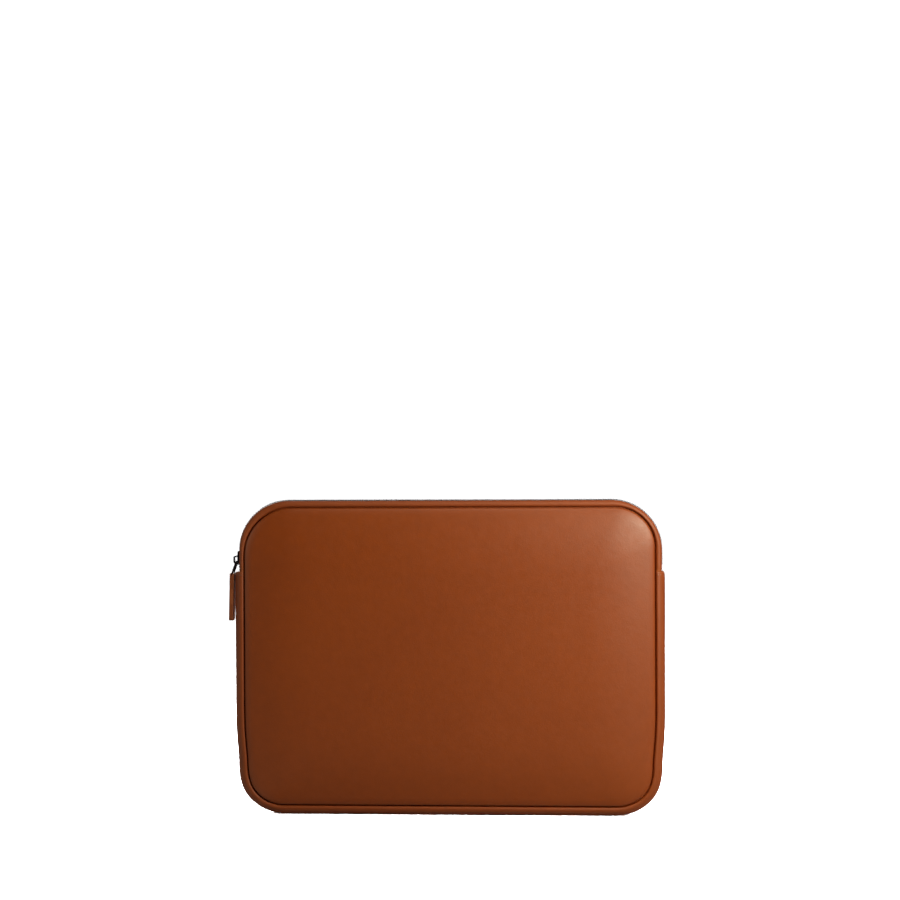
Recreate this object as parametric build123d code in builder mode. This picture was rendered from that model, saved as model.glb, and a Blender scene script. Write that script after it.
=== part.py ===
from build123d import *
from math import cos, pi, radians, sin
import os

# A padded leather laptop sleeve standing on its bottom edge.
# Millimetres. +X is the width, +Z is up, the front faces -Y.
# The origin is on the resting face, at mid width and mid thickness.

# outline of the front and back panels, along the seam
seam_half = 162.0
seam_low = 8.0
seam_high = 243.0
corner = 35.0
corner_top_left = 38.0

# thickness of the sleeve
seam_depth = 9.0
crown_depth = 15.0
leather = 1.2
lining_thick = 0.6
lining_inset = 3.4
lining_depth = 8.3
fit = 0.05

# height at which the zip and the moving mouth begin, and the cut left there
mouth_low = 192.2
mouth_gap = 0.1

# the side and bottom band
gusset_out = 8.0
gusset_flat = 4.0
gusset_leather = 1.6

# the bands either side of the zip
facing_out = 5.1
facing_edge = 5.4
facing_root = 8.9

# the line the zip follows
zip_left = -161.0
zip_right = 162.2
zip_corner_left = 34.0
zip_corner_right = 34.0

# the zip chain
tape_thick = 0.5
tape_edge = 1.3
tape_high = 4.2
tooth_pitch = 1.9
tooth_length = 0.84
tooth_head = 0.6
tooth_width = 1.9
tooth_low = 2.6
tooth_high = 5.7
row_parting = 1.5
parting_start = 1.5
parting_run = 4.0
teeth_start_z = 196.0
teeth_end_z = 197.0
top_stop_z = 193.8
top_stop_half = 0.9
bottom_stop_z = 194.2
bottom_stop_half = 1.0
stop_rounding = 0.35

# the threads across the folded ends of the gusset
stitch_z = 189.6
stitch_pitch = 3.0
stitch_length = 1.6
stitch_radius = 0.35

# the slider, in its closed place near the left end of the zip
slider_z = 203.0
slider_length = 11.0
slider_half_width = 4.6
slider_taper = 1.1
slider_flange = 0.7
slider_rounding = 0.4
plate_low = 5.9
plate_high = 7.0
slot_low = 3.45
slot_high = 4.45
keel_low = 1.35
keel_high = 2.35
wedge_half = 0.7
hook_width = 2.4
hook_bar = 1.2
hook_reach = 3.8
hook_low = 198.2
hook_high = 204.6
hook_mouth = 1.5
hook_bend = 1.7
hook_inner_bend = 0.5
nib_length = 1.8
nib_reach = 0.9

# the pull
link_pin = 0.65
link_x = -169.0
link_z = 200.2
link_foot_x = -172.4
link_foot_z = 190.4
link_arm = 4.0
link_bend = 1.4
link_inner_bend = 0.5
tab_thick = 3.2
tab_half_width = 5.5
tab_top = 191.0
tab_length = 38.0
tab_corner = 2.5
tab_gap = 0.03
tab_lip = 0.35
tab_pocket = 0.8
tab_pocket_above = 1.0
tab_pocket_below = 2.6

# each pair is an inset from the seam and the depth of the surface there
leather_outer = [(0, 9.0), (2, 11.0), (8, 13.2), (18, 14.5), (30, 15.0)]
leather_inner = [(1.3, 9.0), (3.0, 10.1), (8.6, 12.1), (18.2, 13.3), (30, 13.8)]
foam_outer = [(3.4, 8.95), (3.5, 10.0), (9.0, 12.0), (18.6, 13.2), (30, 13.7)]

front = 1
back = -1


def panel_outline(inset):
    """Draw the panel shape, drawn in by an inset, in the open sketch."""
    middle = (seam_low + seam_high) / 2
    with Locations((0, middle)):
        Rectangle(2 * (seam_half - inset), seam_high - seam_low - 2 * inset)
    target = (inset - seam_half, seam_high - inset, 0)
    others = vertices().sort_by_distance(target)[1:]
    fillet(others, radius=corner - inset)
    fillet(vertices().sort_by_distance(target)[0], radius=corner_top_left - inset)


def depth_plane(side, depth):
    """The upright plane at a depth in front of (1) or behind (-1) the middle."""
    return Plane.XZ.offset(side * depth)


def stack(side, levels, mode=Mode.ADD):
    """Build a solid through panel outlines at several depths."""
    sections = []
    for inset, depth in levels:
        with BuildSketch(depth_plane(side, depth)) as section:
            panel_outline(inset)
        sections.append(section.sketch.face())
    loft(sections=sections, ruled=True, mode=mode)


def leather_shell(side):
    """The hollow skin of a panel, open towards the middle."""
    stack(side, leather_outer)
    stack(side, leather_inner, mode=Mode.SUBTRACT)


def lining_plate(side):
    """The flat cloth behind the foam."""
    with BuildSketch(depth_plane(side, lining_depth)) as plate:
        panel_outline(lining_inset)
    extrude(plate.sketch, amount=side * lining_thick)


def keep_below():
    """Keep the fixed lower half of the open part."""
    split(bisect_by=Plane.XY.offset(mouth_low), keep=Keep.BOTTOM)


def keep_above():
    """Keep the moving upper half of the open part."""
    split(bisect_by=Plane.XY.offset(mouth_low + mouth_gap), keep=Keep.TOP)


def across_zip(x, z, angle, shift=0.0):
    """A plane square to the zip: local x outwards, local y to the front."""
    outward = (-cos(radians(angle)), 0, sin(radians(angle)))
    along = (sin(radians(angle)), 0, cos(radians(angle)))
    return Plane(origin=(x, -shift, z), x_dir=outward, z_dir=along)


def zip_point(distance):
    """Place on the zip line at a distance from its lower left end.

    Gives x, z and the turn of the line, 0 on the left side to 180 on the right.
    """
    left_arc_z = seam_high - zip_corner_left
    left_arc_x = zip_left + zip_corner_left
    right_arc_z = seam_high - zip_corner_right
    right_arc_x = zip_right - zip_corner_right
    rise = left_arc_z - mouth_low
    left_turn = zip_corner_left * pi / 2
    top = right_arc_x - left_arc_x
    right_turn = zip_corner_right * pi / 2
    if distance <= rise:
        return zip_left, mouth_low + distance, 0.0
    distance -= rise
    if distance <= left_turn:
        a = distance / zip_corner_left
        x = left_arc_x - zip_corner_left * cos(a)
        return x, left_arc_z + zip_corner_left * sin(a), a * 180 / pi
    distance -= left_turn
    if distance <= top:
        return left_arc_x + distance, seam_high, 90.0
    distance -= top
    if distance <= right_turn:
        a = distance / zip_corner_right
        x = right_arc_x + zip_corner_right * sin(a)
        return x, right_arc_z + zip_corner_right * cos(a), 90 + a * 180 / pi
    distance -= right_turn
    return zip_right, right_arc_z - distance, 180.0


def zip_line():
    """Draw the line the zip follows, from lower left to lower right."""
    arc_z = seam_high - zip_corner_left
    arc_x = zip_left + zip_corner_left
    far_z = seam_high - zip_corner_right
    far_x = zip_right - zip_corner_right
    start = mouth_low + mouth_gap
    Line((zip_left, 0, start), (zip_left, 0, arc_z))
    turn = sin(pi / 4)
    near_mid = (arc_x - zip_corner_left * turn, 0, arc_z + zip_corner_left * turn)
    ThreePointArc((zip_left, 0, arc_z), near_mid, (arc_x, 0, seam_high))
    Line((arc_x, 0, seam_high), (far_x, 0, seam_high))
    far_mid = (far_x + zip_corner_right * turn, 0, far_z + zip_corner_right * turn)
    ThreePointArc((far_x, 0, seam_high), far_mid, (zip_right, 0, far_z))
    Line((zip_right, 0, far_z), (zip_right, 0, start))


def gusset_line():
    """Draw the seam line the gusset follows, from upper left to upper right."""
    low_z = seam_low + corner
    arc_x = seam_half - corner
    turn = corner * sin(pi / 4)
    Line((-seam_half, 0, mouth_low), (-seam_half, 0, low_z))
    left_mid = (-arc_x - turn, 0, low_z - turn)
    ThreePointArc((-seam_half, 0, low_z), left_mid, (-arc_x, 0, seam_low))
    Line((-arc_x, 0, seam_low), (arc_x, 0, seam_low))
    right_mid = (arc_x + turn, 0, low_z - turn)
    ThreePointArc((arc_x, 0, seam_low), right_mid, (seam_half, 0, low_z))
    Line((seam_half, 0, low_z), (seam_half, 0, mouth_low))


def band_section(outer, inner, depth_out, depth_in, flat):
    """Draw the rounded channel section of the gusset or its lining."""
    turn = sin(pi / 4)
    outer_mid = (outer * turn, flat + (depth_out - flat) * turn)
    inner_mid = (inner * turn, flat + (depth_in - flat) * turn)
    with BuildLine() as edge:
        ThreePointArc((0, depth_out), outer_mid, (outer, flat))
        Line((outer, flat), (outer, -flat))
        ThreePointArc((outer, -flat), (outer_mid[0], -outer_mid[1]), (0, -depth_out))
        Line((0, -depth_out), (0, -depth_in))
        ThreePointArc((0, -depth_in), (inner_mid[0], -inner_mid[1]), (inner, -flat))
        Line((inner, -flat), (inner, flat))
        ThreePointArc((inner, flat), inner_mid, (0, depth_in))
        Line((0, depth_in), (0, depth_out))
    make_face(edge.edges())


def facing_section(side):
    """Draw the section of one leather band beside the zip."""
    turn = sin(pi / 4)
    reach = facing_root - facing_edge
    inner_out = facing_out - leather
    inner_reach = reach - leather
    outer_mid = (facing_out * turn, side * (facing_edge + reach * turn))
    inner_mid = (inner_out * turn, side * (facing_edge + inner_reach * turn))
    with BuildLine() as edge:
        ThreePointArc((0, side * facing_root), outer_mid, (facing_out, side * facing_edge))
        Line((facing_out, side * facing_edge), (inner_out, side * facing_edge))
        root = (0, side * (facing_edge + inner_reach))
        ThreePointArc((inner_out, side * facing_edge), inner_mid, root)
        Line(root, (0, side * facing_root))
    make_face(edge.edges())


def tape_section(side):
    """Draw the section of one zip tape, flat beside the teeth and turned in at its edge."""
    top = [(tape_high, tape_edge), (tape_high, 4.6), (3.6, 5.6), (2.3, 7.2)]
    under = [(out - tape_thick, y) for out, y in reversed(top)]
    Polygon(*[(out, side * y) for out, y in top + under], align=None)


def tooth_section(side):
    """Draw one tooth, with the slot that grips the edge of the tape."""
    grip = tape_edge - fit
    grip_high = tape_high + fit
    grip_low = tape_high - tape_thick - fit
    points = [
        (tooth_low, -tooth_head),
        (tooth_high, -tooth_head),
        (tooth_high, tooth_width),
        (grip_high, tooth_width),
        (grip_high, grip),
        (grip_low, grip),
        (grip_low, tooth_width),
        (tooth_low, tooth_width),
    ]
    Polygon(*[(out, side * y) for out, y in points], align=None)


def parting(z, x):
    """How far a row is pushed aside by the wedge of the slider."""
    if x > 0:
        return 0.0
    share = min(max((slider_z + parting_start - z) / parting_run, 0.0), 1.0)
    return row_parting * share * share * (3 - 2 * share)


def tooth_planes(side):
    """One plane for each tooth of a row; the two rows are half a pitch apart."""
    length = seam_high - zip_corner_left - mouth_low
    length += zip_corner_left * pi / 2
    length += zip_right - zip_corner_right - zip_left - zip_corner_left
    length += zip_corner_right * pi / 2
    length += seam_high - zip_corner_right - teeth_end_z
    distance = teeth_start_z - mouth_low
    if side == back:
        distance += tooth_pitch / 2
    planes = []
    while distance <= length:
        x, z, angle = zip_point(distance)
        planes.append(across_zip(x, z, angle, side * parting(z, x)))
        distance += tooth_pitch
    return planes


def tape_parting_cut(side):
    """Take back the tape edge where the row runs round the slider wedge."""
    lean_top = slider_z + parting_start + 0.4
    lean_low = lean_top - 0.9 * parting_run
    low = mouth_low - 1
    wide = tape_edge + row_parting
    with BuildSketch(Plane.YZ.offset(zip_left - tooth_high)) as cut:
        points = [(0, lean_top), (tape_edge, lean_top), (wide, lean_low), (wide, low), (0, low)]
        Polygon(*[(-side * y, z) for y, z in points], align=None)
    extrude(cut.sketch, amount=tooth_high, mode=Mode.SUBTRACT)


# the lower half of the sleeve -------------------------------------------------

with BuildPart() as side_gusset:
    with BuildLine() as gusset_path:
        gusset_line()
    with BuildSketch(across_zip(-seam_half, mouth_low, 0)):
        band_section(
            gusset_out,
            gusset_out - gusset_leather,
            seam_depth,
            seam_depth - gusset_leather,
            gusset_flat,
        )
    sweep(path=gusset_path.line)

with BuildPart() as gusset_lining:
    with BuildLine() as gusset_lining_path:
        gusset_line()
    with BuildSketch(across_zip(-seam_half, mouth_low, 0)):
        cloth_out = gusset_out - gusset_leather - fit
        cloth_depth = seam_depth - gusset_leather - fit
        band_section(
            cloth_out,
            cloth_out - lining_thick,
            cloth_depth,
            cloth_depth - lining_thick,
            gusset_flat,
        )
    sweep(path=gusset_lining_path.line)

with BuildPart() as front_panel:
    leather_shell(front)
    keep_below()

with BuildPart() as front_foam:
    stack(front, foam_outer)
    keep_below()

with BuildPart() as front_lining:
    lining_plate(front)
    keep_below()

with BuildPart() as back_panel:
    leather_shell(back)
    keep_below()

with BuildPart() as back_foam:
    stack(back, foam_outer)
    keep_below()

with BuildPart() as back_lining:
    lining_plate(back)
    keep_below()


def end_stitches(side_x):
    """A row of short threads lying across the folded end of the gusset."""
    x = side_x * (seam_half + gusset_out + stitch_radius + 0.01)
    for y in (-stitch_pitch, 0.0, stitch_pitch):
        with Locations(Location((x, y, stitch_z), (90, 0, 0))):
            Cylinder(radius=stitch_radius, height=stitch_length)
            with Locations((0, 0, -stitch_length / 2), (0, 0, stitch_length / 2)):
                Sphere(radius=stitch_radius)


with BuildPart() as gusset_stitches_left:
    end_stitches(-1)

with BuildPart() as gusset_stitches_right:
    end_stitches(1)

# the mouth, front and back ----------------------------------------------------

with BuildPart() as front_panel_mouth:
    leather_shell(front)
    keep_above()

with BuildPart() as front_foam_mouth:
    stack(front, foam_outer)
    keep_above()

with BuildPart() as front_lining_mouth:
    lining_plate(front)
    keep_above()

with BuildPart() as back_panel_mouth:
    leather_shell(back)
    keep_above()

with BuildPart() as back_foam_mouth:
    stack(back, foam_outer)
    keep_above()

with BuildPart() as back_lining_mouth:
    lining_plate(back)
    keep_above()

with BuildPart() as zip_facing_front:
    with BuildLine() as facing_front_path:
        zip_line()
    with BuildSketch(across_zip(zip_left, mouth_low + mouth_gap, 0)):
        facing_section(front)
    sweep(path=facing_front_path.line)

with BuildPart() as zip_facing_back:
    with BuildLine() as facing_back_path:
        zip_line()
    with BuildSketch(across_zip(zip_left, mouth_low + mouth_gap, 0)):
        facing_section(back)
    sweep(path=facing_back_path.line)

with BuildPart() as zip_tape_front:
    with BuildLine() as tape_front_path:
        zip_line()
    with BuildSketch(across_zip(zip_left, mouth_low + mouth_gap, 0)):
        tape_section(front)
    sweep(path=tape_front_path.line)
    tape_parting_cut(front)

with BuildPart() as zip_tape_back:
    with BuildLine() as tape_back_path:
        zip_line()
    with BuildSketch(across_zip(zip_left, mouth_low + mouth_gap, 0)):
        tape_section(back)
    sweep(path=tape_back_path.line)
    tape_parting_cut(back)

with BuildPart() as tooth_front:
    with BuildSketch():
        tooth_section(front)
    extrude(amount=tooth_length / 2, both=True)

with BuildPart() as zip_teeth_front:
    with Locations(*[plane.location for plane in tooth_planes(front)]):
        add(tooth_front.part)

with BuildPart() as tooth_back:
    with BuildSketch():
        tooth_section(back)
    extrude(amount=tooth_length / 2, both=True)

with BuildPart() as zip_teeth_back:
    with Locations(*[plane.location for plane in tooth_planes(back)]):
        add(tooth_back.part)


def top_stop(side):
    """A small clip on the end of one row, just past the last tooth."""
    with BuildSketch(across_zip(zip_left, top_stop_z, 0, side * row_parting)) as clip:
        tooth_section(side)
    extrude(clip.sketch, amount=top_stop_half, both=True)


with BuildPart() as top_stop_front:
    top_stop(front)

with BuildPart() as top_stop_back:
    top_stop(back)

with BuildPart() as bottom_stop:
    with BuildSketch(across_zip(zip_right, bottom_stop_z, 180)):
        with Locations(((tooth_low + tooth_high) / 2, 0)):
            Rectangle(tooth_high - tooth_low, 2 * (tape_edge - 2 * fit))
    extrude(amount=bottom_stop_half, both=True)
    fillet(edges().filter_by(Axis.Y), radius=stop_rounding)

# the slider and its pull ------------------------------------------------------

wide_half = slider_half_width
rear_half = slider_half_width - slider_taper
slider_bottom = slider_z - slider_length / 2
slider_top = slider_z + slider_length / 2


def slider_plan():
    """Draw the slider from outside: wide where the rows part, narrow behind."""
    with BuildLine() as edge:
        Polyline(
            (-wide_half, slider_bottom),
            (wide_half, slider_bottom),
            (wide_half, slider_z),
            (rear_half, slider_top),
            (-rear_half, slider_top),
            (-wide_half, slider_z),
            close=True,
        )
    make_face(edge.edges())


def slider_slab(low, high):
    """A slab of the slider between two heights above the zip line."""
    with BuildSketch(Plane.YZ.offset(zip_left - high)) as slab:
        slider_plan()
    extrude(slab.sketch, amount=high - low)


with BuildPart() as slider_body:
    slider_slab(slot_high, plate_high)
    slider_slab(keel_low, slot_low)
    with BuildSketch(Plane.YZ.offset(zip_left - plate_low)):
        with Locations((0, slider_z)):
            Rectangle(2 * (wide_half - slider_flange), slider_length + 2)
    extrude(amount=plate_low - keel_high, mode=Mode.SUBTRACT)
    with BuildSketch(Plane.YZ.offset(zip_left - plate_low)):
        wedge_points = [
            (0, slider_z - 1.0),
            (wedge_half, slider_z - 2.9),
            (wedge_half, slider_z - 4.2),
            (0, slider_bottom + 0.2),
            (-wedge_half, slider_z - 4.2),
            (-wedge_half, slider_z - 2.9),
        ]
        Polygon(*wedge_points, align=None)
    extrude(amount=plate_low - keel_high)
    fillet(faces().sort_by(Axis.X)[0].edges(), radius=slider_rounding)

with BuildPart() as slider_hook:
    plate_x = zip_left - plate_high - 0.02
    hook_x = plate_x - hook_reach
    tip_x = plate_x - hook_mouth
    inner_x = hook_x + hook_bar
    with BuildSketch(Plane.XZ):
        hook_points = [
            (plate_x, hook_low),
            (hook_x, hook_low),
            (hook_x, hook_high),
            (tip_x, hook_high),
            (tip_x, hook_high - hook_bar),
            (inner_x, hook_high - hook_bar),
            (inner_x, hook_low + hook_bar),
            (plate_x, hook_low + hook_bar),
        ]
        Polygon(*hook_points, align=None)
        outer_corners = vertices().group_by(Axis.X)[0]
        fillet(outer_corners, radius=hook_bend)
        inner_high = vertices().sort_by_distance((inner_x, hook_high - hook_bar, 0))[0]
        fillet(inner_high, radius=hook_inner_bend)
        inner_low = vertices().sort_by_distance((inner_x, hook_low + hook_bar, 0))[0]
        fillet(inner_low, radius=hook_inner_bend)
        with Locations((plate_x - nib_reach / 2, hook_high - 0.3)):
            Rectangle(nib_reach, nib_length)
    extrude(amount=hook_width / 2, both=True)

with BuildPart() as pull_link:
    drop = Vector(link_foot_x - link_x, 0, link_foot_z - link_z)
    middle = Vector(link_x, 0, link_z) + drop * 0.5
    with BuildSketch(Plane(middle, x_dir=(0, 1, 0), z_dir=drop.cross(Vector(0, 1, 0)))):
        half_arm = link_arm + link_pin
        half_eye = link_arm - link_pin
        outer_length = drop.length + 2 * link_pin
        inner_length = drop.length - 2 * link_pin
        RectangleRounded(2 * half_arm, outer_length, radius=link_bend)
        RectangleRounded(2 * half_eye, inner_length, radius=link_inner_bend, mode=Mode.SUBTRACT)
    extrude(amount=link_pin, both=True)
    flat_faces = faces().filter_by(Axis((0, 0, 0), drop.cross(Vector(0, 1, 0))))
    fillet(flat_faces.edges(), radius=0.5)


def tab_layer(outer):
    """One leather layer of the pull tab, leaning away at the top."""
    sign = -1 if outer else 1
    middle = link_foot_x
    low = tab_top - tab_length
    with BuildSketch(Plane.XZ.offset(-tab_half_width)) as layer:
        points = [
            (tab_gap, low),
            (tab_thick / 2, low),
            (tab_thick / 2, tab_top - 0.3),
            (tab_thick / 2 - 0.2, tab_top),
            (tab_thick / 2 - tab_lip, tab_top),
            (tab_pocket, link_foot_z - tab_pocket_above),
            (tab_gap, link_foot_z - tab_pocket_below),
        ]
        Polygon(*[(middle + sign * x, z) for x, z in points], align=None)
    extrude(layer.sketch, amount=2 * tab_half_width)
    fillet(edges().filter_by(Axis.X).group_by(Axis.Z)[0], radius=tab_corner)


with BuildPart() as pull_tab_outer:
    tab_layer(True)

with BuildPart() as pull_tab_inner:
    tab_layer(False)

# export -----------------------------------------------------------------------

nodes = {
    "side_gusset": side_gusset,
    "gusset_lining": gusset_lining,
    "gusset_stitches_left": gusset_stitches_left,
    "gusset_stitches_right": gusset_stitches_right,
    "front_panel": front_panel,
    "front_foam": front_foam,
    "front_lining": front_lining,
    "back_panel": back_panel,
    "back_foam": back_foam,
    "back_lining": back_lining,
    "front_panel_mouth": front_panel_mouth,
    "front_foam_mouth": front_foam_mouth,
    "front_lining_mouth": front_lining_mouth,
    "back_panel_mouth": back_panel_mouth,
    "back_foam_mouth": back_foam_mouth,
    "back_lining_mouth": back_lining_mouth,
    "zip_facing_front": zip_facing_front,
    "zip_facing_back": zip_facing_back,
    "zip_tape_front": zip_tape_front,
    "zip_tape_back": zip_tape_back,
    "zip_teeth_front": zip_teeth_front,
    "zip_teeth_back": zip_teeth_back,
    "top_stop_front": top_stop_front,
    "top_stop_back": top_stop_back,
    "bottom_stop": bottom_stop,
    "slider_body": slider_body,
    "slider_hook": slider_hook,
    "pull_link": pull_link,
    "pull_tab_outer": pull_tab_outer,
    "pull_tab_inner": pull_tab_inner,
}

os.makedirs("parts", exist_ok=True)
for label, node in nodes.items():
    node.part.label = label
    export_step(node.part, f"parts/{label}.step")
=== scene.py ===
from math import copysign, cos, exp, hypot, pi, radians, sin

import bmesh
import bpy
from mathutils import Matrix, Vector, noise


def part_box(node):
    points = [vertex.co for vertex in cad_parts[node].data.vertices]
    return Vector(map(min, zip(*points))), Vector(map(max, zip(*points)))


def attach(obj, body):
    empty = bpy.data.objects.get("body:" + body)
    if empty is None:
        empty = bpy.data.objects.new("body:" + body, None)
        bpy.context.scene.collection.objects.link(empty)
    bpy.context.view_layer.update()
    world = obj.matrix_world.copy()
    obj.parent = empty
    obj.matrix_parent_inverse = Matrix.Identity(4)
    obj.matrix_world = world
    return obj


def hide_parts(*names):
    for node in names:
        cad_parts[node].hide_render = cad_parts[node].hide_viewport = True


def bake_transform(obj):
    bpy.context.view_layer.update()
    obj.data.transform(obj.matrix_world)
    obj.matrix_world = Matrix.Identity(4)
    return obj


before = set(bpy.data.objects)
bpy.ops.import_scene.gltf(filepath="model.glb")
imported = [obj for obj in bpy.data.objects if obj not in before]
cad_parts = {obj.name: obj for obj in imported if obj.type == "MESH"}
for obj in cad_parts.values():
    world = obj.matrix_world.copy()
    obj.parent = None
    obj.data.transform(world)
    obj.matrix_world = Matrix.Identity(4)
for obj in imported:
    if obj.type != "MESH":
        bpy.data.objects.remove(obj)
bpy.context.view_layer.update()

# A padded leather laptop sleeve. Lengths here are millimetres until a mesh is made.
MM = 0.001


def cad_box_mm(node):
    """The lowest and highest corners of a CAD node, in millimetres."""
    low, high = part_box(node)
    return low / MM, high / MM


# --- sizes read from the frame ------------------------------------------------

panel_low, panel_high = cad_box_mm("front_panel")
mouth_high = cad_box_mm("front_panel_mouth")[1]
gusset_high = cad_box_mm("side_gusset")[1]
facing_low, facing_high = cad_box_mm("zip_facing_front")
teeth_high = cad_box_mm("zip_teeth_front")[1]

SEAM_HALF = panel_high.x
SEAM_LOW = panel_low.z
SEAM_HIGH = mouth_high.z
ZIP_START = gusset_high.z
GUSSET_OUT = gusset_high.x - SEAM_HALF
FACING_OUT = facing_high.z - SEAM_HIGH
TOOTH_HIGH = teeth_high.z - SEAM_HIGH
ZIP_RIGHT = facing_high.x - FACING_OUT
ZIP_LEFT = facing_low.x + FACING_OUT

CORNER = 31.0
CORNER_TOP_LEFT = 38.0
ZIP_CORNER_LEFT = 34.0
ZIP_CORNER_RIGHT = 34.0
TEETH_START = 196.0
TEETH_END = 197.0
LEATHER = 1.2
TOOTH_LOW = 2.6
TOOTH_LENGTH = 0.84
TOOTH_PITCH = 1.9
TOOTH_HEAD = 0.6
TOOTH_WIDTH = 1.9
ROW_PARTING = 1.5
TAPE_EDGE = 0.75
SLIDER_Z = 203.0
FRONT, BACK = -1, 1


# --- mesh helpers -------------------------------------------------------------

SLACK = 2.4
SLACK_Z = 37.0


def settle(point):
    """Draw a point of the lower sides in a little, where the padding slackens."""
    x, y, z = point
    spread = 24.0 if z > SLACK_Z else 17.0
    pull = SLACK * exp(-((z - SLACK_Z) / spread) ** 2) * smoothstep(0.45 * SEAM_HALF, SEAM_HALF, abs(x))
    return Vector((x - copysign(pull, x), y, z))


def new_object(name, verts, faces, material, smooth_angle=40):
    """A mesh object from millimetre points, shaded smooth except at sharp edges."""
    mesh = bpy.data.meshes.new(name)
    mesh.from_pydata([settle(v) * MM for v in verts], [], faces)
    finish_mesh(mesh, smooth_angle)
    mesh.materials.append(material)
    obj = bpy.data.objects.new(name, mesh)
    bpy.context.scene.collection.objects.link(obj)
    return obj


def finish_mesh(mesh, smooth_angle=40):
    """Merge doubled points, turn faces outwards and mark sharp edges."""
    bm = bmesh.new()
    bm.from_mesh(mesh)
    bmesh.ops.remove_doubles(bm, verts=bm.verts, dist=1e-6)
    bmesh.ops.recalc_face_normals(bm, faces=bm.faces)
    for face in bm.faces:
        face.smooth = True
    for edge in bm.edges:
        if len(edge.link_faces) == 2:
            edge.smooth = edge.calc_face_angle(0.0) < radians(smooth_angle)
    bm.to_mesh(mesh)
    bm.free()


def apply_modifiers(obj, smooth_angle=40):
    """Bake an object's modifiers into its mesh."""
    bpy.context.view_layer.update()
    graph = bpy.context.evaluated_depsgraph_get()
    mesh = bpy.data.meshes.new_from_object(obj.evaluated_get(graph))
    obj.modifiers.clear()
    obj.data = mesh
    finish_mesh(mesh, smooth_angle)
    return obj


def bevel(obj, width, segments=2, angle=35):
    """Round an object's sharp edges by a width in millimetres."""
    modifier = obj.modifiers.new("bevel", "BEVEL")
    modifier.width = width * MM
    modifier.segments = segments
    modifier.limit_method = "ANGLE"
    modifier.angle_limit = radians(angle)
    return apply_modifiers(obj)


def join(name, objects):
    """One object from several, keeping each one's materials."""
    bm = bmesh.new()
    materials = []
    for obj in objects:
        material = obj.data.materials[0]
        if material not in materials:
            materials.append(material)
        start = len(bm.faces)
        bm.from_mesh(obj.data)
        bm.faces.ensure_lookup_table()
        for face in bm.faces[start:]:
            face.material_index = materials.index(material)
        bpy.data.objects.remove(obj)
    mesh = bpy.data.meshes.new(name)
    bm.to_mesh(mesh)
    bm.free()
    for material in materials:
        mesh.materials.append(material)
    joined = bpy.data.objects.new(name, mesh)
    bpy.context.scene.collection.objects.link(joined)
    return joined


def smooth_curve(points, steps):
    """Points along a smooth curve through the given ones (Catmull-Rom)."""
    dense = []
    last = len(points) - 1
    for i in range(last):
        p0 = points[max(i - 1, 0)]
        p1 = points[i]
        p2 = points[i + 1]
        p3 = points[min(i + 2, last)]
        for step in range(steps):
            t = step / steps
            dense.append(tuple(
                0.5 * (2 * b + (c - a) * t + (2 * a - 5 * b + 4 * c - d) * t * t
                       + (3 * b - a - 3 * c + d) * t ** 3)
                for a, b, c, d in zip(p0, p1, p2, p3)
            ))
    dense.append(points[-1])
    return dense


def smoothstep(low, high, value):
    """0 below low, 1 above high, and a smooth rise between."""
    t = min(max((value - low) / (high - low), 0.0), 1.0)
    return t * t * (3 - 2 * t)


# --- the lines the parts follow -----------------------------------------------

def line_samples(start, end, count):
    """Points along a straight, without its last one, as (x, z, outward x, outward z)."""
    dx = end[0] - start[0]
    dz = end[1] - start[1]
    length = hypot(dx, dz)
    out = (-dz / length, dx / length)
    return [
        (start[0] + dx * i / count, start[1] + dz * i / count, out[0], out[1])
        for i in range(count)
    ]


def arc_samples(centre, radius, start, end, count):
    """Points along an arc, without its last one; angles in degrees from +X."""
    samples = []
    for i in range(count):
        a = radians(start + (end - start) * i / count)
        samples.append((centre[0] + radius * cos(a), centre[1] + radius * sin(a), cos(a), sin(a)))
    return samples


def zip_track(left=ZIP_LEFT, right=ZIP_RIGHT, r_left=ZIP_CORNER_LEFT, r_right=ZIP_CORNER_RIGHT,
              step=2.0):
    """A line from the zip's left end over the top to its right end.

    The number of points in each stretch is the zip's own, so that lines with other
    corners still match it point for point.
    """
    left_count = int((SEAM_HIGH - ZIP_CORNER_LEFT - ZIP_START) / step)
    right_count = int((SEAM_HIGH - ZIP_CORNER_RIGHT - ZIP_START) / step)
    turn_left = int(ZIP_CORNER_LEFT * pi / 2 / step)
    turn_right = int(ZIP_CORNER_RIGHT * pi / 2 / step)
    across = int((ZIP_RIGHT - ZIP_LEFT - ZIP_CORNER_LEFT - ZIP_CORNER_RIGHT) / step)
    cl = (left + r_left, SEAM_HIGH - r_left)
    cr = (right - r_right, SEAM_HIGH - r_right)
    samples = line_samples((left, ZIP_START), (left, cl[1]), left_count)
    samples += arc_samples(cl, r_left, 180, 90, turn_left)
    samples += line_samples((cl[0], SEAM_HIGH), (cr[0], SEAM_HIGH), across)
    samples += arc_samples(cr, r_right, 90, 0, turn_right)
    samples += line_samples((right, cr[1]), (right, ZIP_START), right_count)
    samples.append((right, ZIP_START, 1.0, 0.0))
    return samples


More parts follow.
